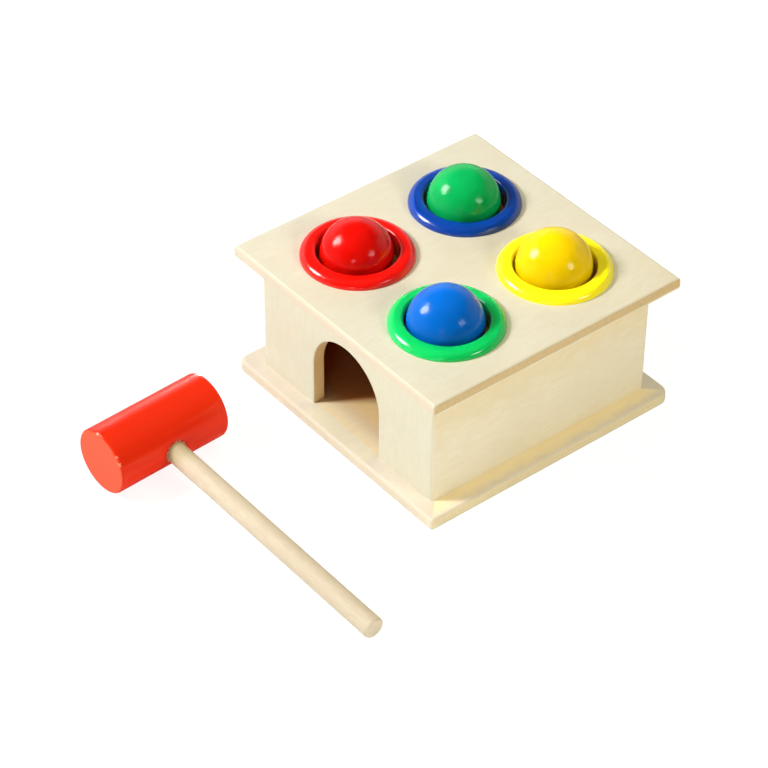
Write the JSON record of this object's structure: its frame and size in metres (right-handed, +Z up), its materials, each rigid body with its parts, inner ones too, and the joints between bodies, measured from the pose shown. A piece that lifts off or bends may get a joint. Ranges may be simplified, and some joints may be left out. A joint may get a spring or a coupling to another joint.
{
  "type": "ball pounding toy",
  "caption": "Square wooden box with ringed holes in its top holding painted balls, an arched doorway for the struck balls to roll out, and a loose mallet-shaped hammer.",
  "frame": {"origin": "middle of the base board's underside, on the surface that the box stands on", "axes": "+Z up, -Y out of the arched doorway, +X to the right of someone facing the doorway"},
  "size_m": [0.1687, 0.2274, 0.0857],
  "materials": {
    "board_wood": "matte",
    "wall_wood": "matte",
    "dowel_wood": "matte",
    "screw_steel": "satin",
    "ring_red": "gloss",
    "ring_blue": "gloss",
    "ring_yellow": "gloss",
    "ring_green": "gloss",
    "grip_rubber": "matte",
    "paint_red": "gloss",
    "paint_green": "gloss",
    "paint_yellow": "gloss",
    "paint_blue": "gloss",
    "hammer_paint": "satin"
  },
  "bodies": {
    "box": {"base_board": "board_wood", "front_wall": "wall_wood", "back_wall": "wall_wood", "left_wall": "wall_wood", "right_wall": "wall_wood", "top_board": "board_wood", "top_dowels": "dowel_wood", "base_screws": "screw_steel", "ring_red": "ring_red", "ring_blue": "ring_blue", "ring_yellow": "ring_yellow", "ring_green": "ring_green", "grip_left_front": "grip_rubber", "grip_left_back": "grip_rubber", "grip_right_back": "grip_rubber", "grip_right_front": "grip_rubber"},
    "red_ball": {"ball_red": "paint_red"},
    "green_ball": {"ball_green": "paint_green"},
    "yellow_ball": {"ball_yellow": "paint_yellow"},
    "blue_ball": {"ball_blue": "paint_blue"},
    "hammer": {"hammer_head": "hammer_paint", "hammer_handle": "dowel_wood"}
  },
  "joints": [
    {"name": "red_ball_drop", "type": "slide", "parent": "box", "child": "red_ball", "axis": [0, 0, 1], "range_m": [-0.0464, 0.03], "deforming": ["grip_left_front"]},
    {"name": "green_ball_drop", "type": "slide", "parent": "box", "child": "green_ball", "axis": [0, 0, 1], "range_m": [-0.0464, 0.03], "deforming": ["grip_left_back"]},
    {"name": "yellow_ball_drop", "type": "slide", "parent": "box", "child": "yellow_ball", "axis": [0, 0, 1], "range_m": [-0.0464, 0.03], "deforming": ["grip_right_back"]},
    {"name": "blue_ball_drop", "type": "slide", "parent": "box", "child": "blue_ball", "axis": [0, 0, 1], "range_m": [-0.0464, 0.03], "deforming": ["grip_right_front"]},
    {"name": "hammer_lift", "type": "slide", "parent": "box", "child": "hammer", "axis": [0, 0, 1], "range_m": [0, 0.12]}
  ]
}
